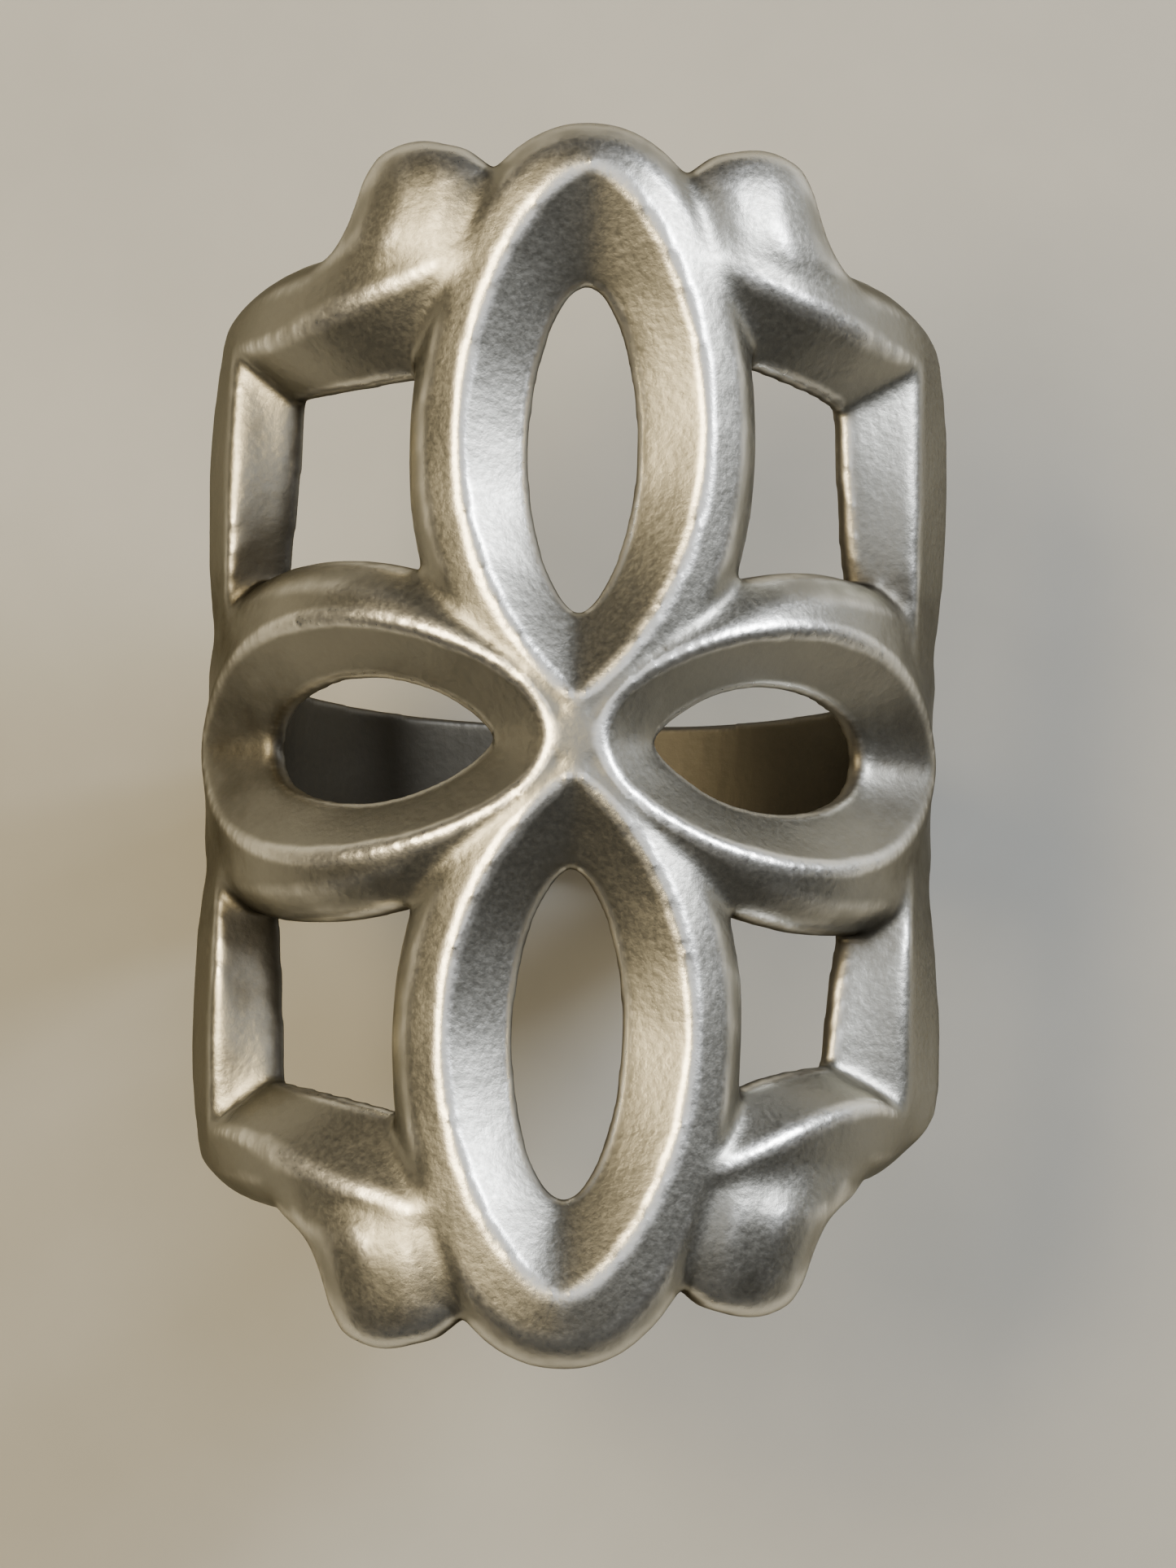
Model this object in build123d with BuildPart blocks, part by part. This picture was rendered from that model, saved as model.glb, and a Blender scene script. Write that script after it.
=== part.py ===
"""Openwork finger ring: a sand-cast face of four ridged petals in a scalloped frame, on a plain band.

Millimetres. The origin is the centre of the finger hole, the finger points along Y and the face is up, +Z.
Places on the face are given as an angle round the finger from the middle of the face, a height along
the finger and a radius from the finger's axis.
"""

from build123d import *
import math
import os

os.makedirs("parts", exist_ok=True)

# ---- the size of the ring -------------------------------------------------------------------------
BORE_R = 8.65  # US size 7
FACE_HALF = 16.05  # from the middle of the face to a petal's far tip, along the finger
RIDGE_R = BORE_R + 1.70  # crest of every ridge
SHOULDER_R = BORE_R + 1.42  # halfway down the outer slope, which is rounded
OUTER_EDGE_R = BORE_R + 0.80  # top of the outer wall
INNER_EDGE_R = BORE_R + 0.38  # top of the wall round an opening
ROOT_R = BORE_R - 0.60  # the castings' undersides before the bore is opened
JOINT = 86.0  # where the face stops and the band starts, in degrees each side

# ---- the two petals that lie along the finger -----------------------------------------------------
# each outline runs from a near end to a far end, with a half width in degrees and how blunt its ends are
UPPER_RIDGE_TIP = FACE_HALF - 1.20
LOWER_RIDGE_TIP = FACE_HALF - 1.80  # the lower petal has the broader slope at its tip
ALONG_OUTER = (-0.60, FACE_HALF, 28.6, 0.70, 0.46)
ALONG_SHOULDER = (0.10, FACE_HALF - 0.55, 24.4, 0.80, 0.50)
ALONG_RIDGE_START = 0.95  # the inner tip of each ridge, clear of the middle
ALONG_RIDGE = (18.2, 0.85, 0.68)  # without its ends, which are named above
ALONG_OPENING = (0.20 * FACE_HALF, FACE_HALF - 4.10, 9.7, 0.64, 0.56)

# ---- the two petals that go round the finger ------------------------------------------------------
# each outline runs from a near angle to a far angle, with a half width in mm and how blunt its ends are
ROUND_OUTER = (-5.0, 97.0, 4.70, 0.60, 0.50)
ROUND_SHOULDER = (-1.0, 96.0, 4.05, 0.75, 0.50)
ROUND_LEFT_RIDGE = (3.5, 77.0, 3.12, 0.52, 0.75)
ROUND_RIGHT_RIDGE = (3.5, 72.5, 3.10, 0.52, 0.75)
LEFT_OPENING = (13.0, 64.5, 1.72, 0.75, 0.50)
RIGHT_OPENING = (12.5, 59.5, 1.72, 0.75, 0.50)

# ---- the frame: a side rail between two corners, and an arm from each corner to a scalloped lobe ---
# its heights are shares of FACE_HALF
LEFT_WINDOW = 60.0  # the window's outer edge at its corner, in degrees; the ring is hand made and uneven
RIGHT_WINDOW = 51.5
WINDOW_SPREAD = 4.0  # how much further round that edge is beside the side petal
LEFT_RIDGE = 65.5
RIGHT_RIDGE = 61.5
FRAME_SHOULDER = 75.0
FRAME_EDGE = 79.5
FRAME_BULGE = 5.0  # how much further round the rail's outside is at mid height
# how much further out each of the rail's lines stands beside the side petal and at mid height, inside it
EDGE_LIFTS = (0.25, 0.25)
SHOULDER_LIFTS = (0.20, -0.25)
RIDGE_LIFTS = (0.0, -0.90)
WINDOW_LIFTS = (0.0, 0.0)
UNDER_PETAL = 70.0  # the rail's inner lines at mid height, hidden in the side petal
CORNER_EDGE = 0.738
CORNER_SHOULDER = 0.723
CORNER_RIDGE = 0.670
CORNER_WINDOW = 0.586
BESIDE_PETAL = 0.312
ARM_END = 17.0  # the arm ends inside the flank of the petal, in degrees
# places each line of the arm goes through from the corner to that end: angle, height, how far it stands out
EDGE_ARM = ((62.0, 0.785, 0.0), (47.0, 0.801, 0.0), (ARM_END, 0.847, 0.0))
SHOULDER_ARM = ((58.0, 0.751, 0.0), (42.0, 0.763, 0.0), (ARM_END, 0.822, -0.10))
# the arms' ridges and the windows' ends slant differently: the upper and the lower one on each side
RIGHT_RIDGE_ARMS = (
    ((50.0, 0.685, -0.05), (40.0, 0.710, -0.05), (ARM_END, 0.785, -0.25)),
    ((50.0, 0.655, -0.05), (40.0, 0.685, -0.05), (ARM_END, 0.815, -0.25)),
)
LEFT_RIDGE_ARMS = (
    ((50.0, 0.673, -0.05), (40.0, 0.700, -0.05), (ARM_END, 0.780, -0.25)),
    ((50.0, 0.695, -0.05), (40.0, 0.735, -0.05), (ARM_END, 0.800, -0.25)),
)
RIGHT_WINDOW_ARMS = (((40.0, 0.610, 0.0), (ARM_END, 0.645, 0.0)), ((40.0, 0.600, 0.0), (ARM_END, 0.700, 0.0)))
LEFT_WINDOW_ARMS = (((45.0, 0.587, 0.0), (ARM_END, 0.605, 0.0)), ((42.0, 0.610, 0.0), (ARM_END, 0.660, 0.0)))
LOWER_LEFT_ARM = 0.96  # the lower corners stop short of the upper ones, the right one and its lobe most
LOWER_RIGHT_ARM = 0.88
LOWER_RIGHT_LOBE = 0.935
LOWER_RIGHT_LEAN = 3.0
LOWER_RIGHT_TUCK = 6.5  # how much further in its outside corner is, in degrees

# ---- the four lobes, each from its root in the arm to its end, at heights that are shares of FACE_HALF
LOBE_HEIGHTS = (0.735, 0.790, 0.850, 0.920, 0.962, 0.979)
LOBE_OUTER = (54.0, 47.5, 41.5, 39.0, 36.5, 31.5)
LOBE_CREST = (36.0, 31.5, 29.5, 29.0, 29.0, 29.5)
LOBE_INNER = (15.0, 15.0, 15.0, 15.5, 21.0, 28.0)
LOBE_RISE = (0.72, 0.80, 0.76, 0.55, 0.26, 0.06)  # how far the crest stands above the outer wall
LOBE_SECTION = (1.0, 0.85, 0.50, 0.0)  # lines across half of its domed back, as shares of the half width

# ---- the flat where the four ridges cross ---------------------------------------------------------
BOSS_ALONG = ALONG_RIDGE_START + 0.05
BOSS_ACROSS = 0.62
BOSS_FOOT = 1.80  # how much bigger its foot is
BOSS_TOP = RIDGE_R - 0.06

# ---- the band and its two soldered joints ---------------------------------------------------------
SOLDER = 0.12
SOLDER_WIDTH = 4.60
SOLDER_R = BORE_R + 1.05
BAND_R = BORE_R + 1.20
BAND_JOINT_WIDTH = 4.90
BAND_BACK_WIDTH = 3.60

STEPS = 12
FAR = 2 * FACE_HALF


def on_ring(place):
    """The point in space at a place on the ring, given as angle, height and radius."""
    turn = math.radians(place.X)
    return Vector(place.Z * math.sin(turn), place.Y, place.Z * math.cos(turn))


def bent(places):
    """A curve bent round the finger through places given as angle, height and radius."""
    course = Spline(*places) if len(places) > 2 else Line(*places)
    return Spline(*[on_ring(course @ (step / STEPS)) for step in range(STEPS + 1)])


def skinned(rails):
    """A solid whose sides are ruled between neighbouring rails; each rail is a list of curves end to end."""
    spans = range(len(rails[0]))
    faces = [
        Face.make_surface_from_curves(rails[side - 1][span].edge(), rails[side][span].edge())
        for side in range(len(rails))
        for span in spans
    ]
    starts = [rail[0] @ 0 for rail in rails]
    ends = [rail[-1] @ 1 for rail in rails]
    for corners in (starts, ends):
        if (corners[0] - corners[-1]).length > 0 and not meets_itself(rails):
            faces.append(Face(Wire.make_polygon(corners)))
    return Solid(Shell(faces))


def meets_itself(rails):
    """Whether every rail comes back to where it started."""
    return all((rail[0] @ 0 - rail[-1] @ 1).length < 1e-6 for rail in rails)


def outline(shape, radius, along):
    """Both halves of a petal's outline at one radius, as two curves that meet at its tips."""
    near, far, half_width, near_blunt, far_blunt = shape
    halves = []
    for side in (1, -1):
        places = []
        for step in range(STEPS + 1):
            sweep = math.pi * (step / STEPS if side > 0 else 1 - step / STEPS)
            travel = (1 - math.cos(sweep)) / 2
            blunt = near_blunt + (far_blunt - near_blunt) * travel
            out = side * half_width * math.sin(sweep) ** (2 * blunt) if 0 < step < STEPS else 0.0
            reach = near + (far - near) * travel
            places.append(Vector(out, reach, radius) if along else Vector(reach, out, radius))
        halves.append(Spline(*[on_ring(place) for place in places]))
    return halves


def petal(outer, shoulder, ridge, opening, along):
    """A ridged almond loop, pointing up the finger or round to the right."""
    return skinned(
        [
            outline(outer, ROOT_R, along),
            outline(outer, OUTER_EDGE_R, along),
            outline(shoulder, SHOULDER_R, along),
            outline(ridge, RIDGE_R, along),
            outline(opening, INNER_EDGE_R, along),
            outline(opening, ROOT_R, along),
        ]
    )


def arm_line(corner, arm, radius):
    """The places one line of an arm goes through, from the corner to the petal."""
    return [Vector(angle, share * FACE_HALF, radius + out) for angle, share, out in ((*corner, 0.0), *arm)]


def frame_rail(corner, rail, arms, radius, lower_reach, tuck=0.0):
    """One line of the frame: the lower arm, the side rail and the upper arm.

    Corner is the angle and height of the line's corner, and the lower one is tucked in. Rail is the angle
    beside the side petal and at mid height, and how much further out the line stands at both. Arms is the
    places the line goes through on its way to the petal, in the upper and in the lower arm.
    """
    beside, middle, (lift, middle_lift) = rail
    angle, share = corner
    upper = arm_line(corner, arms[0], radius)
    lower = [
        Vector(place.X, -place.Y * lower_reach, place.Z)
        for place in reversed(arm_line((angle - tuck, share), arms[1], radius))
    ]
    side = [
        lower[-1],
        Vector(beside, -BESIDE_PETAL * FACE_HALF, radius + lift),
        Vector(middle, 0, radius + middle_lift),
        Vector(beside, BESIDE_PETAL * FACE_HALF, radius + lift),
        upper[0],
    ]
    return [bent(lower), bent(side), bent(upper)]


def frame(window, crest, window_arms, ridge_arms, lower_reach, tuck=0.0):
    """The right-hand frame: side rail, both corners and both arms."""
    edge = (
        (FRAME_EDGE, CORNER_EDGE),
        (FRAME_EDGE + FRAME_BULGE / 2, FRAME_EDGE + FRAME_BULGE, EDGE_LIFTS),
        (EDGE_ARM, EDGE_ARM),
    )
    shoulder = (
        (FRAME_SHOULDER, CORNER_SHOULDER),
        (FRAME_SHOULDER + FRAME_BULGE / 2, FRAME_SHOULDER + FRAME_BULGE, SHOULDER_LIFTS),
        (SHOULDER_ARM, SHOULDER_ARM),
    )
    ridge = (
        (crest, CORNER_RIDGE),
        (crest, UNDER_PETAL + FRAME_BULGE, RIDGE_LIFTS),
        ridge_arms,
    )
    inner = (
        (window, CORNER_WINDOW),
        (window + WINDOW_SPREAD, UNDER_PETAL, WINDOW_LIFTS),
        window_arms,
    )
    return skinned(
        [
            frame_rail(*edge, ROOT_R, lower_reach, tuck),
            frame_rail(*edge, OUTER_EDGE_R, lower_reach, tuck),
            frame_rail(*shoulder, SHOULDER_R, lower_reach, tuck),
            frame_rail(*ridge, RIDGE_R, lower_reach),
            frame_rail(*inner, INNER_EDGE_R, lower_reach),
            frame_rail(*inner, ROOT_R, lower_reach),
        ]
    )


def lobe_line(side, across, on_back, reach):
    """One line of a lobe, curved up to its widest and straight for the last stretches.

    Side is the lobe's angles on the side that the line is on, and across how far the line is from the
    crest towards that side, as a share. It runs over the domed back, or under it at the root.
    """
    dome = math.sqrt(1 - across**2)
    places = [
        Vector(
            crest + (edge - crest) * across,
            share * FACE_HALF * reach,
            OUTER_EDGE_R + rise * dome if on_back else ROOT_R,
        )
        for crest, edge, share, rise in zip(LOBE_CREST, side, LOBE_HEIGHTS, LOBE_RISE)
    ]
    return [bent(places[:-2]), bent(places[-3:-1]), bent(places[-2:])]


def lobe(reach):
    """The upper right lobe, a domed tongue that flares past the arm; reach shortens it."""
    outer = [lobe_line(LOBE_OUTER, across, True, reach) for across in LOBE_SECTION]
    inner = [lobe_line(LOBE_INNER, across, True, reach) for across in reversed(LOBE_SECTION[:-1])]
    outer_root = lobe_line(LOBE_OUTER, LOBE_SECTION[0], False, reach)
    inner_root = lobe_line(LOBE_INNER, LOBE_SECTION[0], False, reach)
    return skinned([outer_root, *outer, *inner, inner_root])


def along_petal(ridge_tip):
    """The petal that points up the finger."""
    ridge = (ALONG_RIDGE_START, ridge_tip, *ALONG_RIDGE)
    return petal(ALONG_OUTER, ALONG_SHOULDER, ridge, ALONG_OPENING, True)


castings = [
    petal(ROUND_OUTER, ROUND_SHOULDER, ROUND_RIGHT_RIDGE, RIGHT_OPENING, False),
    petal(ROUND_OUTER, ROUND_SHOULDER, ROUND_LEFT_RIDGE, LEFT_OPENING, False).mirror(Plane.YZ),
    along_petal(UPPER_RIDGE_TIP),
    along_petal(LOWER_RIDGE_TIP).mirror(Plane.XZ),
    frame(
        RIGHT_WINDOW, RIGHT_RIDGE, RIGHT_WINDOW_ARMS, RIGHT_RIDGE_ARMS, LOWER_RIGHT_ARM, LOWER_RIGHT_TUCK
    ),
    frame(LEFT_WINDOW, LEFT_RIDGE, LEFT_WINDOW_ARMS, LEFT_RIDGE_ARMS, LOWER_LEFT_ARM).mirror(Plane.YZ),
    lobe(1.0),
    lobe(1.0).mirror(Plane.YZ),
    lobe(1.0).mirror(Plane.XZ).mirror(Plane.YZ),
    lobe(LOWER_RIGHT_LOBE).mirror(Plane.XZ).rotate(Axis.Y, LOWER_RIGHT_LEAN),
]

joint_turn = math.radians(JOINT)
joint_across = FAR * math.sin(joint_turn)
joint_rise = FAR * math.cos(joint_turn)
joint_drop = SOLDER / math.sin(joint_turn)


with BuildPart() as cast_face:
    # one at a time and in this order, so that the middle joins up at other sizes of ring too
    for casting in castings:
        add(casting)
    with BuildSketch(Plane.XY.offset(BOSS_TOP)) as boss_top:
        Polygon((BOSS_ACROSS, 0), (0, BOSS_ALONG), (-BOSS_ACROSS, 0), (0, -BOSS_ALONG), align=None)
    with BuildSketch(Plane.XY.offset(BORE_R)) as boss_foot:
        add(boss_top.sketch_local.faces()[0].scale(BOSS_FOOT))
    loft()
    with BuildSketch(Plane.XZ):
        Circle(BORE_R)
    extrude(amount=FAR, both=True, mode=Mode.SUBTRACT)
    with BuildSketch(Plane.XZ):
        Polygon(
            (0, 0),
            (joint_across, joint_rise),
            (FAR, -FAR),
            (-FAR, -FAR),
            (-joint_across, joint_rise),
            align=None,
        )
    extrude(amount=FAR, both=True, mode=Mode.SUBTRACT)

with BuildPart() as shank:
    with BuildSketch(Plane.XZ):
        Circle(BAND_R)
        Circle(BORE_R, mode=Mode.SUBTRACT)
        Polygon(
            (0, -joint_drop),
            (joint_across, joint_rise - joint_drop),
            (FAR, FAR),
            (-FAR, FAR),
            (-joint_across, joint_rise - joint_drop),
            align=None,
            mode=Mode.SUBTRACT,
        )
    extrude(amount=BAND_JOINT_WIDTH / 2, both=True)
    with BuildSketch(Plane.YZ):
        Polygon(
            (-BAND_JOINT_WIDTH / 2, 0),
            (-BAND_BACK_WIDTH / 2, -BAND_R),
            (BAND_BACK_WIDTH / 2, -BAND_R),
            (BAND_JOINT_WIDTH / 2, 0),
            (BAND_JOINT_WIDTH / 2, BORE_R),
            (-BAND_JOINT_WIDTH / 2, BORE_R),
            align=None,
        )
    extrude(amount=FAR, both=True, mode=Mode.INTERSECT)


def seam(side):
    """The plane of a soldered joint, looking from the face towards the band."""
    turn = joint_turn * side
    middle = (BORE_R + SOLDER_R) / 2
    return Plane(
        origin=(middle * math.sin(turn), 0, middle * math.cos(turn)),
        x_dir=(math.sin(turn), 0, math.cos(turn)),
        z_dir=(math.cos(turn) * side, 0, -math.sin(turn) * side),
    )


with BuildPart() as solder_seam_right:
    with BuildSketch(seam(1)):
        Rectangle(SOLDER_R - BORE_R, SOLDER_WIDTH)
    extrude(amount=SOLDER)

with BuildPart() as solder_seam_left:
    with BuildSketch(seam(-1)):
        Rectangle(SOLDER_R - BORE_R, SOLDER_WIDTH)
    extrude(amount=SOLDER)

cast_face.part.label = "cast_face"
export_step(cast_face.part, "parts/cast_face.step")
shank.part.label = "shank"
export_step(shank.part, "parts/shank.step")
solder_seam_left.part.label = "solder_seam_left"
export_step(solder_seam_left.part, "parts/solder_seam_left.step")
solder_seam_right.part.label = "solder_seam_right"
export_step(solder_seam_right.part, "parts/solder_seam_right.step")
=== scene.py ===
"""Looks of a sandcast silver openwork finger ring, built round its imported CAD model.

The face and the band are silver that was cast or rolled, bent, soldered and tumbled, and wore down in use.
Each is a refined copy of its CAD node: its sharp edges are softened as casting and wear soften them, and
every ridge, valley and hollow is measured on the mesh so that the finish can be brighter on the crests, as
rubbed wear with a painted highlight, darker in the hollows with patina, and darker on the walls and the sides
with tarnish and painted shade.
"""

import logging
import math
from dataclasses import dataclass, field
from enum import Enum

import bpy
import numpy as np
from mathutils import Matrix, Vector
from mathutils.bvhtree import BVHTree


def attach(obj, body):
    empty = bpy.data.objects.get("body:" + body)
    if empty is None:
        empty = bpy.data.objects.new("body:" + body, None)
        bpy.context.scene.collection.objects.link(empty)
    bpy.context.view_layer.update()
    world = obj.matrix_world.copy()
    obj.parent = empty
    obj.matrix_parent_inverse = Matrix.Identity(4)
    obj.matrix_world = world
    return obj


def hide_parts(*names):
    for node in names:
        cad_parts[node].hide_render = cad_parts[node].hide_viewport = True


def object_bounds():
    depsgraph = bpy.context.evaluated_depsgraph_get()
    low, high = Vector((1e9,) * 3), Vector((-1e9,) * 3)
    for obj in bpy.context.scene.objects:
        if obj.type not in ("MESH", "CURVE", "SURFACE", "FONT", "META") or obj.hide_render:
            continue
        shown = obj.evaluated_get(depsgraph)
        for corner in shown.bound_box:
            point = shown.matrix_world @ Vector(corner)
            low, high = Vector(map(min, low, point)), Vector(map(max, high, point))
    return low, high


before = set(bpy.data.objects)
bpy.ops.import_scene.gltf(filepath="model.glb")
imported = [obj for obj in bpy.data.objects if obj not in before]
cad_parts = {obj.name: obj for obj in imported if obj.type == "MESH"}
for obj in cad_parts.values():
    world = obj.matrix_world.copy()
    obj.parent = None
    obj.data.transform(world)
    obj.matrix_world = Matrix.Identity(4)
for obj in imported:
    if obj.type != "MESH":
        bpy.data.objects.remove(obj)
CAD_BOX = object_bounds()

MM = 0.001
BORE_R = 8.65 * MM
CREST_R = BORE_R + 1.70 * MM
WELD = 0.0005 * MM  # corners of a CAD mesh that lie this close are one corner
LOG = logging.getLogger("openwork_ring")


class Slot(Enum):
    """The record's material slots."""

    FACE = "sandcast_silver"
    BAND = "rolled_silver"
    SOLDER = "silver_solder"


# ---- small helpers --------------------------------------------------------------------------------


def linear(hex_colour: str) -> tuple[float, float, float, float]:
    """Turns an sRGB hex colour into linear RGBA.

    Args:
        hex_colour: six hex digits, with or without a leading #.

    Returns:
        Linear red, green, blue and an alpha of 1.
    """
    digits = hex_colour.lstrip("#")
    channels = [int(digits[i : i + 2], 16) / 255 for i in (0, 2, 4)]
    red, green, blue = (c / 12.92 if c <= 0.04045 else ((c + 0.055) / 1.055) ** 2.4 for c in channels)
    return red, green, blue, 1.0


def add_node(
    tree: bpy.types.NodeTree,
    kind: str,
    settings: dict[str, object] | None = None,
    inputs: dict[str | int, object] | None = None,
) -> bpy.types.Node:
    """Adds a shader node with its settings, values and links.

    Args:
        tree: the node tree to add it to.
        kind: the node's type name, such as ShaderNodeTexNoise.
        settings: properties of the node itself.
        inputs: for each input socket, by name or number, a value or an output socket to link from.

    Returns:
        The new node.
    """
    node = tree.nodes.new(kind)
    for name, value in (settings or {}).items():
        setattr(node, name, value)
    for name, value in (inputs or {}).items():
        socket = node.inputs[name]
        if isinstance(value, bpy.types.NodeSocket):
            tree.links.new(value, socket)
        else:
            socket.default_value = value
    return node


def deselect_all() -> None:
    """Leaves object mode's selection empty."""
    if bpy.context.object and bpy.context.object.mode != "OBJECT":
        bpy.ops.object.mode_set(mode="OBJECT")
    bpy.ops.object.select_all(action="DESELECT")


def make_active(thing: bpy.types.Object) -> None:
    """Selects one object and makes it active.

    Args:
        thing: the object.
    """
    deselect_all()
    thing.select_set(True)
    bpy.context.view_layer.objects.active = thing


def apply_modifier(thing: bpy.types.Object, kind: str, settings: dict[str, object]) -> None:
    """Adds a modifier with its settings and applies it.

    Args:
        thing: the object to change.
        kind: the modifier's type.
        settings: its properties.
    """
    make_active(thing)
    modifier = thing.modifiers.new(kind.lower(), kind)
    for name, value in settings.items():
        setattr(modifier, name, value)
    bpy.ops.object.modifier_apply(modifier=modifier.name)


def copy_of_node(node: str, name: str) -> bpy.types.Object:
    """Copies a CAD node's mesh into a new object and welds its loose triangles together.

    Args:
        node: the CAD node.
        name: the new object's name.

    Returns:
        The new object, at the origin.
    """
    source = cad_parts[node]
    make_active(source)
    bpy.ops.object.duplicate()
    piece = bpy.context.object
    piece.name = name
    piece.data.name = name
    piece.parent = None
    piece.matrix_world = Matrix.Identity(4)
    bpy.ops.object.mode_set(mode="EDIT")
    bpy.ops.mesh.select_all(action="SELECT")
    bpy.ops.mesh.remove_doubles(threshold=WELD)
    bpy.ops.object.mode_set(mode="OBJECT")
    piece.data.materials.clear()
    return piece


def vertex_arrays(mesh: bpy.types.Mesh) -> tuple[np.ndarray, np.ndarray, np.ndarray]:
    """Reads a mesh as arrays.

    Args:
        mesh: the mesh.

    Returns:
        Its corners' places, their normals, and its edges as pairs of corners.
    """
    places = np.empty(len(mesh.vertices) * 3, np.float32)
    mesh.vertices.foreach_get("co", places)
    normals = np.empty(len(mesh.vertices) * 3, np.float32)
    mesh.vertices.foreach_get("normal", normals)
    edges = np.empty(len(mesh.edges) * 2, np.int32)
    mesh.edges.foreach_get("vertices", edges)
    return places.reshape(-1, 3), normals.reshape(-1, 3), edges.reshape(-1, 2)


def spread(values: np.ndarray, edges: np.ndarray, rounds: int) -> np.ndarray:
    """Averages a value over neighbouring corners.

    Args:
        values: one number a corner.
        edges: pairs of corners.
        rounds: how many times to average.

    Returns:
        The smoothed values.
    """
    counts = np.bincount(edges.ravel(), minlength=len(values)).clip(1)
    for _ in range(rounds):
        sums = np.bincount(edges[:, 0], values[edges[:, 1]], len(values))
        sums += np.bincount(edges[:, 1], values[edges[:, 0]], len(values))
        values = 0.5 * values + 0.5 * sums / counts
    return values


def ramp(values: np.ndarray, start: float, end: float) -> np.ndarray:
    """Runs smoothly from 0 at start to 1 at end."""
    share = np.clip((values - start) / (end - start), 0, 1)
    return share * share * (3 - 2 * share)


def turn_round_finger(places: np.ndarray) -> np.ndarray:
    """Finds how far round the finger each corner is from the middle of the face, in degrees."""
    return np.degrees(np.arctan2(np.abs(places[:, 0]), places[:, 2]))


def write_attribute(mesh: bpy.types.Mesh, name: str, values: np.ndarray) -> None:
    """Stores one number a corner under a name that a material can read."""
    attribute = mesh.attributes.new(name, "FLOAT", "POINT")
    attribute.data.foreach_set("value", values.astype(np.float32))


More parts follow.
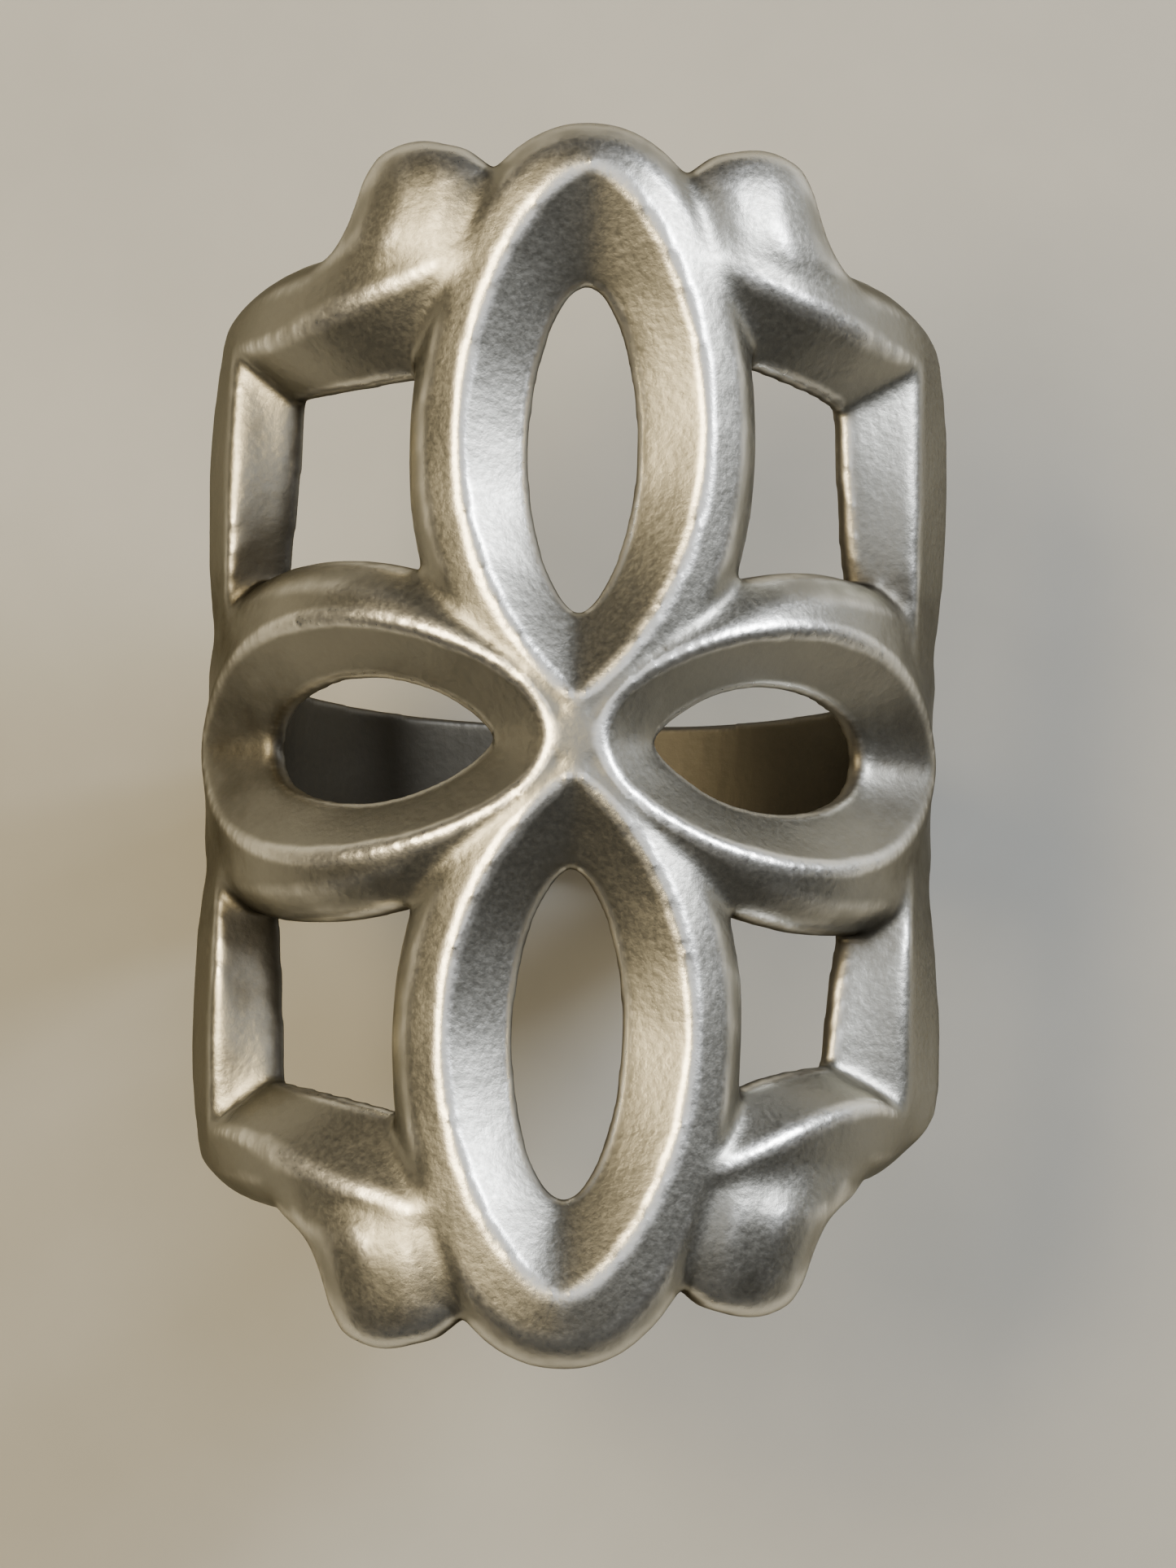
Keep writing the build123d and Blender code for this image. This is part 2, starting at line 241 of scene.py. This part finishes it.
@dataclass
class WearAndPaintedLightMap:
    """Where a tumbled piece of silver, rubbed with use, is bright with wear and a painted highlight, and
    where it keeps its dark patina and gets painted shade.

    Attributes:
        crest_radius: edges rounder than this, in metres, count as flat.
        reach: how far a ray looks for metal that shades a point, in metres.
        lift: how far above the skin a ray starts, in metres.
        rays: how many rays leave each point.
        walls: where a wall starts to keep tarnish and painted shade and where it keeps them all, from -1,
            facing out of the ring, to 1, facing into it.
        side_turn: where the parts that lie between the fingers, which get painted shade, begin and where they
            have begun, in degrees.
        side_petals: how far up the finger the side petals reach, from their last full height to none.
        side_crest_shade: how much of a crest's brightness is taken away between the fingers, as painted
            shade.
        hollow_share: how much tarnish a hollow keeps.
        valley_share: how much tarnish a valley keeps.
        wall_share: how much tarnish and painted shade a wall gets.
        side_share: how much painted shade the side petals get.
    """

    crest_radius: float = 1.2 * MM
    reach: float = 3.0 * MM
    lift: float = 0.02 * MM
    rays: int = 14
    walls: tuple[float, float] = (-0.80, 0.10)
    side_turn: tuple[float, float] = (35.0, 68.0)
    side_petals: tuple[float, float] = (4.2 * MM, 6.4 * MM)
    side_crest_shade: float = 0.70
    hollow_share: float = 0.70
    valley_share: float = 0.50
    wall_share: float = 0.62
    side_share: float = 0.38

    def measure(self, piece: bpy.types.Object) -> None:
        """Writes the attributes crest and patina_and_shade on a piece's mesh.

        Crest is 1 on the sharpest ridges, which are rubbed bright and get a painted highlight.
        Patina_and_shade is high where tarnish stays, in hollows and valleys, where tarnish and painted shade
        are put together, on side walls and inside the finger hole, and where painted shade alone is put, on
        the side petals.

        Args:
            piece: the finished piece.
        """
        places, normals, edges = vertex_arrays(piece.data)
        bend = self.bend(places, normals, edges)
        outward = places * (1.0, 0.0, 1.0)
        outward /= np.linalg.norm(outward, axis=1, keepdims=True).clip(1e-9)
        facing = (normals * outward).sum(1)
        hollow = spread(self.shade(piece, places, normals), edges, 3)
        valley = np.clip(-spread(bend, edges, 3), 0, 2) / 2
        # walls that face sideways or into the ring get tarnish and painted shade
        wall = ramp(-facing, *self.walls)
        # painted shade on the sides of the ring, which turn away from the lights
        side_shade = ramp(turn_round_finger(places), *self.side_turn)
        side_petals = side_shade * (1 - ramp(np.abs(places[:, 1]), *self.side_petals))
        # a crest's brightness is rubbed wear and a painted highlight; on the sides it is dimmed as painted
        # shade
        crest = np.clip(bend, 0, 2) / 2 * (1 - self.side_crest_shade * side_shade)
        # patina in the hollows and valleys, and painted shade on the walls and the side petals
        patina_and_shade = self.hollow_share * hollow + self.valley_share * valley + self.wall_share * wall
        patina_and_shade += self.side_share * side_petals
        write_attribute(piece.data, "crest", crest)
        write_attribute(piece.data, "patina_and_shade", patina_and_shade)

    def bend(self, places: np.ndarray, normals: np.ndarray, edges: np.ndarray) -> np.ndarray:
        """Finds how sharply the skin bends at each corner.

        Args:
            places: the corners.
            normals: their normals.
            edges: pairs of corners.

        Returns:
            0 where it is flat, above 0 on a ridge and below 0 in a valley, as a share of crest_radius.
        """
        first, second = edges[:, 0], edges[:, 1]
        steps = places[second] - places[first]
        squared = (steps**2).sum(1).clip(1e-14)
        bend = np.bincount(first, -(normals[first] * steps).sum(1) / squared, len(places))
        bend += np.bincount(second, (normals[second] * steps).sum(1) / squared, len(places))
        bend /= np.bincount(edges.ravel(), minlength=len(places)).clip(1)
        return spread(bend, edges, 2) * 2 * self.crest_radius

    def shade(self, piece: bpy.types.Object, places: np.ndarray, normals: np.ndarray) -> np.ndarray:
        """Finds how much of each corner's sky is blocked by the ring itself.

        Args:
            piece: the piece to look round.
            places: its corners.
            normals: their normals.

        Returns:
            0 where the sky is open and 1 where it is all blocked.
        """
        tree = BVHTree.FromObject(piece, bpy.context.evaluated_depsgraph_get())
        blocked = np.zeros(len(places))
        golden = math.pi * (3 - math.sqrt(5))
        for ray in range(self.rays):
            height = math.sqrt(1 - (ray + 0.5) / self.rays)
            across = math.sqrt(1 - height**2)
            turn = Vector((math.cos(golden * ray) * across, math.sin(golden * ray) * across, height))
            for corner, (place, normal) in enumerate(zip(places, normals)):
                up = Vector(normal)
                way = up.to_track_quat("Z", "Y") @ turn
                hit = tree.ray_cast(Vector(place) + up * self.lift, way, self.reach)
                if hit[0] is not None:
                    blocked[corner] += 1 / self.rays
        return blocked


# ---- finishes -------------------------------------------------------------------------------------


@dataclass(frozen=True)
class SilverFinish:
    """Sterling silver with a satin, hand-worked surface.

    Attributes:
        name: the material's name.
        bright: colour of untarnished, rubbed metal, which on the crests is also a painted highlight.
        base: colour of the satin surface.
        edge: tint of what it mirrors at a glancing angle, which its thin tarnish dims.
        patina: colour of the tarnish left in the hollows, which is also the colour of the painted shade on
            walls and sides.
        rubbed: roughness of a rubbed crest.
        satin: roughness of the open surface.
        dull: roughness of a hollow.
        speckle: how much the grain varies the roughness.
        grain_mm: size of the grain that the sand or the rolls left.
        grain_depth_mm: how deep the grain is.
        grain_strength: how much of its depth the grain shows.
        pit: how much wider and deeper than the grain the pits are.
        pit_strength: how much of their depth the pits show.
        cloud_mm: size of the clouds that tarnish comes and goes in.
        mottling: how much the clouds shift the tarnish.
        rubbed_and_highlit_at: how sharp a crest is where it starts to be rubbed and get a painted highlight,
            and where it is rubbed bright and fully highlit.
        tarnish_and_shade_at: how high patina_and_shade is where tarnish and painted shade start to show, and
            where they are at their most.
        most_tarnish_and_shade: how much of the metal's colour the tarnish and painted shade hide at their
            most.
    """

    name: str
    bright: str = "#F3F1E9"
    base: str = "#A2A097"
    edge: str = "#7D7A72"
    patina: str = "#4B463B"
    rubbed: float = 0.31
    satin: float = 0.37
    dull: float = 0.52
    speckle: float = 0.24
    grain_mm: float = 0.14
    grain_depth_mm: float = 0.009
    grain_strength: float = 0.8
    pit: float = 1.8
    pit_strength: float = 0.35
    cloud_mm: float = 1.5
    mottling: float = 0.55
    rubbed_and_highlit_at: tuple[float, float] = (0.08, 0.40)
    tarnish_and_shade_at: tuple[float, float] = (0.42, 1.00)
    most_tarnish_and_shade: float = 0.85

    def material(self) -> bpy.types.Material:
        """Builds the material, or finds it when another piece already has it.

        Returns:
            A metal whose colour, gloss and grain follow the piece's own attributes of wear, patina and
            painted light.
        """
        if self.name in bpy.data.materials:
            return bpy.data.materials[self.name]
        made = bpy.data.materials.new(self.name)
        made.use_nodes = True
        tree = made.node_tree
        tree.nodes.clear()
        place = add_node(tree, "ShaderNodeTexCoord").outputs["Object"]
        crest = add_node(tree, "ShaderNodeAttribute", {"attribute_name": "crest"}).outputs["Fac"]
        patina_and_shade = add_node(tree, "ShaderNodeAttribute", {"attribute_name": "patina_and_shade"}).outputs["Fac"]

        clouds = add_node(
            tree,
            "ShaderNodeTexNoise",
            inputs={"Vector": place, "Scale": 1 / (self.cloud_mm * MM), "Detail": 5.0, "Roughness": 0.62},
        ).outputs["Fac"]
        grain = add_node(
            tree,
            "ShaderNodeTexNoise",
            inputs={"Vector": place, "Scale": 1 / (self.grain_mm * MM), "Detail": 3.0, "Roughness": 0.6},
        ).outputs["Fac"]
        mottled = add_node(
            tree, "ShaderNodeMath", {"operation": "MULTIPLY_ADD"}, {0: clouds, 1: self.mottling, 2: patina_and_shade}
        ).outputs[0]
        # tarnish stays in the hollows; painted shade darkens the walls, the sides and the inside of the band
        tarnish = add_node(
            tree,
            "ShaderNodeMapRange",
            {"interpolation_type": "SMOOTHSTEP"},
            {
                "Value": mottled,
                "From Min": self.tarnish_and_shade_at[0],
                "From Max": self.tarnish_and_shade_at[1],
                "To Max": self.most_tarnish_and_shade,
            },
        ).outputs["Result"]
        # crests are coloured bright, partly as rubbed wear and partly as a painted highlight
        rubbed_and_highlit = add_node(
            tree,
            "ShaderNodeMapRange",
            {"interpolation_type": "SMOOTHSTEP"},
            {"Value": crest, "From Min": self.rubbed_and_highlit_at[0], "From Max": self.rubbed_and_highlit_at[1]},
        ).outputs["Result"]

        # the Mix node's colour sockets share their names with its number sockets, so they go by number
        metal_and_highlight = add_node(
            tree,
            "ShaderNodeMix",
            {"data_type": "RGBA"},
            {0: rubbed_and_highlit, 6: linear(self.base), 7: linear(self.bright)},
        ).outputs[2]
        # the patina colour lays tarnish and painted shade over the metal
        stained_and_shaded = add_node(
            tree,
            "ShaderNodeMix",
            {"data_type": "RGBA"},
            {0: tarnish, 6: metal_and_highlight, 7: linear(self.patina)},
        ).outputs[2]

        metal = add_node(
            tree,
            "ShaderNodeBsdfPrincipled",
            inputs={
                "Base Color": stained_and_shaded,
                "Metallic": 1.0,
                "Roughness": self.roughness(tree, rubbed_and_highlit, grain, tarnish),
                "Specular Tint": linear(self.edge),
                "Normal": self.relief(tree, place, grain),
            },
        )
        add_node(tree, "ShaderNodeOutputMaterial", inputs={"Surface": metal.outputs["BSDF"]})
        return made

    def roughness(
        self,
        tree: bpy.types.NodeTree,
        rubbed_and_highlit: bpy.types.NodeSocket,
        grain: bpy.types.NodeSocket,
        tarnish: bpy.types.NodeSocket,
    ) -> bpy.types.NodeSocket:
        """Makes crests glossier, hollows duller and the grain a little uneven.

        Args:
            tree: the material's nodes.
            rubbed_and_highlit: how rubbed a place is, and how much painted highlight it gets.
            grain: the grain's height.
            tarnish: how tarnished it is, together with the painted shade on walls and sides.

        Returns:
            The roughness.
        """
        gloss = add_node(
            tree,
            "ShaderNodeMapRange",
            inputs={"Value": rubbed_and_highlit, "To Min": self.satin, "To Max": self.rubbed},
        ).outputs["Result"]
        speckled = add_node(
            tree,
            "ShaderNodeMath",
            {"operation": "MULTIPLY_ADD"},
            {0: grain, 1: self.speckle, 2: -self.speckle / 2},
        ).outputs[0]
        uneven = add_node(tree, "ShaderNodeMath", {"operation": "ADD"}, {0: gloss, 1: speckled}).outputs[0]
        return add_node(
            tree, "ShaderNodeMix", {"data_type": "FLOAT"}, {0: tarnish, 2: uneven, 3: self.dull}
        ).outputs[0]

    def relief(
        self, tree: bpy.types.NodeTree, place: bpy.types.NodeSocket, grain: bpy.types.NodeSocket
    ) -> bpy.types.NodeSocket:
        """Pits the skin, and runs the grain over the pits.

        Args:
            tree: the material's nodes.
            place: the place on the piece.
            grain: the grain's height.

        Returns:
            The normal.
        """
        pits = add_node(
            tree,
            "ShaderNodeTexVoronoi",
            {"feature": "SMOOTH_F1"},
            {"Vector": place, "Scale": 1 / (self.pit * self.grain_mm * MM), "Smoothness": 0.6},
        ).outputs["Distance"]
        pitted = add_node(
            tree,
            "ShaderNodeBump",
            inputs={
                "Strength": self.pit_strength,
                "Distance": self.pit * self.grain_depth_mm * MM,
                "Height": pits,
            },
        ).outputs["Normal"]
        return add_node(
            tree,
            "ShaderNodeBump",
            inputs={
                "Strength": self.grain_strength,
                "Distance": self.grain_depth_mm * MM,
                "Height": grain,
                "Normal": pitted,
            },
        ).outputs["Normal"]


# ---- the ring -------------------------------------------------------------------------------------


@dataclass
class SoftenedCasting:
    """A CAD node redrawn as cast or rolled metal, with its edges softened.

    Attributes:
        node: the CAD node that it stands for.
        name: the piece's name.
        slot: the record's material slot; not used.
        voxel: spacing of the new mesh, in metres.
        rounds: how many rounds of smoothing soften the edges.
        regrow: how far the skin is pushed back out, to make up for what the smoothing took, in metres.
        wobble: how uneven the hand-worked surface is, in metres.
        finish: its surface.
        wear: how its crests and hollows are measured, with its painted highlight and painted shade.
        wobble_size: how wide that unevenness is, in metres.
        most_triangles: how many triangles the finished mesh may have.
        settling: how many rounds of smoothing even out a mesh that was thinned to that number.
    """

    node: str
    name: str
    slot: Slot
    voxel: float
    rounds: int
    regrow: float
    wobble: float
    finish: SilverFinish
    wear: WearAndPaintedLightMap = field(default_factory=WearAndPaintedLightMap)
    wobble_size: float = 1.7 * MM
    most_triangles: int = 185_000
    settling: int = 2

    def build(self) -> bpy.types.Object:
        """Makes the piece's mesh.

        Returns:
            The softened piece.
        """
        piece = copy_of_node(self.node, self.name)
        apply_modifier(piece, "REMESH", {"mode": "VOXEL", "voxel_size": self.voxel, "adaptivity": 0.0})
        self.soften(piece)
        if self.wobble:
            clouds = bpy.data.textures.new(f"{self.name}_wobble", "CLOUDS")
            clouds.noise_scale = self.wobble_size
            clouds.noise_depth = 1
            uneven = {"texture": clouds, "texture_coords": "LOCAL", "strength": self.wobble, "mid_level": 0.5}
            apply_modifier(piece, "DISPLACE", uneven)
        apply_modifier(piece, "DISPLACE", {"strength": self.regrow, "mid_level": 0.0})
        triangles = 2 * len(piece.data.polygons)
        if triangles > self.most_triangles:
            apply_modifier(piece, "DECIMATE", {"ratio": self.most_triangles / triangles})
            apply_modifier(piece, "SMOOTH", {"factor": 0.5, "iterations": self.settling})
        make_active(piece)
        bpy.ops.object.shade_smooth()
        return piece

    def soften(self, piece: bpy.types.Object) -> None:
        """Rounds off all of the piece's edges."""
        apply_modifier(piece, "SMOOTH", {"factor": 0.5, "iterations": self.rounds})

    def dress(self, piece: bpy.types.Object) -> None:
        """Gives the piece its map of wear, patina and painted light, its material and its place in the frame.

        Args:
            piece: the piece that build made.
        """
        self.wear.measure(piece)
        piece.data.materials.append(self.finish.material())
        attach(piece, "root")
        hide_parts(self.node)


@dataclass
class FaceCasting(SoftenedCasting):
    """The openwork face, whose flanks, frame and lobes are rounder than its petals' ridges and its windows.

    Attributes:
        blend_rounds: how many more rounds of smoothing the rounder places get.
        flank: the radii between which a flank begins, above the sharp edge of an opening, in metres.
        ridge: the radii between which a petal's ridge begins, in metres.
        arms: how far up the finger the arms and their lobes begin, and have begun, in metres.
        arms_start: where round the finger the arms begin, and have begun, in degrees.
        arms_end: where they start to end, and end, in degrees.
        rails: how far up the finger the side rails begin, and have begun, in metres.
        rails_start: where round the finger the rails begin, and have begun, in degrees.
        rails_share: how much of that smoothing the rails get.
    """

    blend_rounds: int = 40
    flank: tuple[float, float] = (BORE_R + 0.55 * MM, BORE_R + 0.85 * MM)
    ridge: tuple[float, float] = (CREST_R - 0.42 * MM, CREST_R - 0.12 * MM)
    arms: tuple[float, float] = (9.7 * MM, 10.9 * MM)
    arms_start: tuple[float, float] = (17.0, 21.0)
    arms_end: tuple[float, float] = (50.0, 58.0)
    rails: tuple[float, float] = (4.8 * MM, 5.8 * MM)
    rails_start: tuple[float, float] = (54.0, 58.0)
    rails_share: float = 0.6

    def soften(self, piece: bpy.types.Object) -> None:
        """Rounds off the edges, and blends the flanks and the lobes into what they grow from.

        Args:
            piece: the remeshed face.
        """
        super().soften(piece)
        places, _, _ = vertex_arrays(piece.data)
        radius = np.hypot(places[:, 0], places[:, 2])
        turn = turn_round_finger(places)
        height = np.abs(places[:, 1])
        arms = ramp(height, *self.arms) * ramp(turn, *self.arms_start) * (1 - ramp(turn, *self.arms_end))
        rails = ramp(height, *self.rails) * ramp(turn, *self.rails_start)
        frame_parts = np.maximum(arms, self.rails_share * rails)
        soft = ramp(radius, *self.flank) * np.maximum(1 - ramp(radius, *self.ridge), frame_parts)
        group = piece.vertex_groups.new(name="soft")
        for corner, weight in enumerate(soft):
            group.add([corner], float(weight), "REPLACE")
        blend = {"factor": 0.5, "iterations": self.blend_rounds, "vertex_group": group.name}
        apply_modifier(piece, "SMOOTH", blend)
        piece.vertex_groups.clear()


# ---- studio ---------------------------------------------------------------------------------------


@dataclass
class Softbox:
    """A square studio light aimed at the ring.

    Attributes:
        name: its name.
        azimuth: degrees round from +X towards +Y.
        elevation: degrees above the floor.
        distance: metres from the ring.
        size: its width in metres.
        power: watts.
        colour: sRGB hex.
    """

    name: str
    azimuth: float
    elevation: float
    distance: float
    size: float
    power: float
    colour: str

    def build(self, target: Vector) -> None:
        """Adds the light.

        Args:
            target: the point that it faces.
        """
        turn, rise = math.radians(self.azimuth), math.radians(self.elevation)
        way = Vector((math.cos(turn) * math.cos(rise), math.sin(turn) * math.cos(rise), math.sin(rise)))
        data = bpy.data.lights.new(self.name, "AREA")
        data.shape = "SQUARE"
        data.size = self.size
        data.energy = self.power
        data.color = linear(self.colour)[:3]
        light = bpy.data.objects.new(self.name, data)
        light.location = target + way * self.distance
        light.rotation_euler = way.to_track_quat("Z", "Y").to_euler()
        bpy.context.scene.collection.objects.link(light)


@dataclass
class Studio:
    """Floor, lights and camera. The ring stands on the back of its band, face up.

    Attributes:
        distance: from the camera to the middle of the ring, in metres.
        elevation: of the camera above the horizon, in degrees.
        sideways: how far the camera stands to the left of the ring, in degrees.
        roll: how far the ring leans clockwise in the picture, in degrees.
        lens: focal length in millimetres, for a sensor 36 mm on its long side.
        offset: how far the middle of the picture is right of and below the finger hole's centre, in mm.
        room_light: strength of the room's own light, from the horizon and from overhead.
        backdrop: strength of the backdrop as the camera sees it.
        floor_size: width of the floor in metres.
        floor_gap: how far below the band the floor lies, in metres.
        vein_mm: width of the stone's clouds.
        softboxes: the lights.
    """

    distance: float = 120 * MM
    elevation: float = 85.7
    sideways: float = 0.9
    roll: float = 1.5
    lens: float = 98.6
    offset: tuple[float, float] = (0.49, 0.47)
    room_light: tuple[float, float] = (0.08, 0.20)
    backdrop: float = 0.85
    floor_size: float = 1.6
    floor_gap: float = 0.02 * MM
    vein_mm: float = 14.0
    softboxes: list[Softbox] = field(
        default_factory=lambda: [
            Softbox("warm_left", 166.0, 55.0, 0.30, 0.15, 1.05, "#FFE9BC"),
            Softbox("cool_right", 30.0, 34.0, 0.30, 0.08, 1.05, "#F0F5FF"),
            Softbox("top_fill", 35.0, 76.0, 0.40, 0.30, 0.24, "#F6F9FF"),
        ]
    )

    def build(self) -> None:
        """Makes the whole studio."""
        self.floor()
        self.world()
        for softbox in self.softboxes:
            softbox.build(Vector((0, 0, 0)))
        self.camera()

    def floor(self) -> None:
        """Lays a plain floor of honed stone, which shows as a matt, faintly clouded pale grey."""
        deselect_all()
        height = CAD_BOX[0].z - self.floor_gap
        bpy.ops.mesh.primitive_plane_add(size=self.floor_size, location=(0, 0, height))
        floor = bpy.context.object
        floor.name = "floor"
        paint = bpy.data.materials.new("pale_stone_floor")
        paint.use_nodes = True
        tree = paint.node_tree
        tree.nodes.clear()
        place = add_node(tree, "ShaderNodeTexCoord").outputs["Object"]
        veins = add_node(
            tree,
            "ShaderNodeTexNoise",
            inputs={"Vector": place, "Scale": 1 / (self.vein_mm * MM), "Detail": 5.0, "Roughness": 0.6},
        ).outputs["Fac"]
        tone = add_node(
            tree,
            "ShaderNodeMix",
            {"data_type": "RGBA"},
            {0: veins, 6: linear("#A3A198"), 7: linear("#BCBAB1")},
        ).outputs[2]
        stone = add_node(tree, "ShaderNodeBsdfPrincipled", inputs={"Base Color": tone, "Roughness": 0.55})
        add_node(tree, "ShaderNodeOutputMaterial", inputs={"Surface": stone.outputs["BSDF"]})
        floor.data.materials.append(paint)

    def world(self) -> None:
        """Fills the room with dim light, brighter overhead, in front of a pale backdrop."""
        room = bpy.data.worlds.new("studio_room")
        room.use_nodes = True
        tree = room.node_tree
        tree.nodes.clear()
        seen = add_node(tree, "ShaderNodeLightPath").outputs["Is Camera Ray"]
        way = add_node(tree, "ShaderNodeTexCoord").outputs["Generated"]
        rise = add_node(tree, "ShaderNodeSeparateXYZ", inputs={"Vector": way}).outputs["Z"]
        horizon, overhead = self.room_light
        room_light = add_node(
            tree, "ShaderNodeMapRange", inputs={"Value": rise, "To Min": horizon, "To Max": overhead}
        ).outputs["Result"]
        strength = add_node(
            tree, "ShaderNodeMix", {"data_type": "FLOAT"}, {0: seen, 2: room_light, 3: self.backdrop}
        ).outputs[0]
        background = add_node(
            tree, "ShaderNodeBackground", inputs={"Color": linear("#BCBBB6"), "Strength": strength}
        )
        add_node(tree, "ShaderNodeOutputWorld", inputs={"Surface": background.outputs["Background"]})
        bpy.context.scene.world = room

    def camera(self) -> None:
        """Hangs the camera above the face, a little towards its lower end."""
        rise, side, lean = (math.radians(a) for a in (self.elevation, self.sideways, self.roll))
        swing = Matrix.Rotation(-side, 3, "Y")
        back = swing @ Vector((0, -math.cos(rise), math.sin(rise)))
        right = swing @ Vector((1, 0, 0))
        up = swing @ Vector((0, math.sin(rise), math.cos(rise)))
        right_leant = right * math.cos(lean) + up * math.sin(lean)
        up_leant = up * math.cos(lean) - right * math.sin(lean)
        data = bpy.data.cameras.new("camera")
        data.lens = self.lens
        data.sensor_width = 36.0
        data.sensor_fit = "AUTO"
        data.clip_start = 0.01
        data.clip_end = 10.0
        data.dof.use_dof = False
        camera = bpy.data.objects.new("camera", data)
        axes = Matrix((right_leant, up_leant, back)).transposed().to_4x4()
        aim = right_leant * self.offset[0] * MM - up_leant * self.offset[1] * MM
        camera.matrix_world = Matrix.Translation(aim + back * self.distance) @ axes
        bpy.context.scene.collection.objects.link(camera)
        bpy.context.scene.camera = camera


def report(piece: bpy.types.Object) -> None:
    """Logs a piece's name, triangles and size.

    Args:
        piece: the finished piece.
    """
    piece.data.calc_loop_triangles()
    size = " x ".join(f"{length / MM:.2f}" for length in piece.dimensions)
    LOG.info("%s: %d triangles, %s mm", piece.name, len(piece.data.loop_triangles), size)


def main() -> None:
    """Builds the ring and the studio."""
    logging.basicConfig(level=logging.INFO, format="%(message)s")
    # sand leaves a fine grain, so the light on the face spreads in soft patches with a slight sparkle
    face = SilverFinish("sandcast_sterling_silver_satin")
    # rolls leave a flatter one, so the light on the band lies in long, even streaks
    band = SilverFinish("rolled_sterling_silver_satin", grain_depth_mm=0.006)
    # solder holds less silver, so its seams show a shade yellower and finer
    solder = SilverFinish("hard_silver_solder", base="#C4BCA6", grain_mm=0.10)
    castings = [
        FaceCasting(
            node="cast_face",
            name="cast_face_silver",
            slot=Slot.FACE,
            voxel=0.11 * MM,
            rounds=22,
            regrow=0.09 * MM,
            wobble=0.045 * MM,
            finish=face,
        ),
        SoftenedCasting(
            node="shank",
            name="shank_silver",
            slot=Slot.BAND,
            voxel=0.09 * MM,
            rounds=12,
            regrow=0.04 * MM,
            wobble=0.03 * MM,
            finish=band,
            # the inside of the band gets tarnish and painted shade, its edges little
            wear=WearAndPaintedLightMap(walls=(-0.20, 0.90)),
        ),
    ]
    for seam in ("solder_seam_left", "solder_seam_right"):
        castings.append(
            SoftenedCasting(
                node=seam,
                name=f"{seam}_bead",
                slot=Slot.SOLDER,
                voxel=0.06 * MM,
                rounds=3,
                regrow=0.15 * MM,
                wobble=0.0,
                finish=solder,
            )
        )
    for casting in castings:
        piece = casting.build()
        casting.dress(piece)
        report(piece)
    Studio().build()


if __name__ == "__main__":
    main()
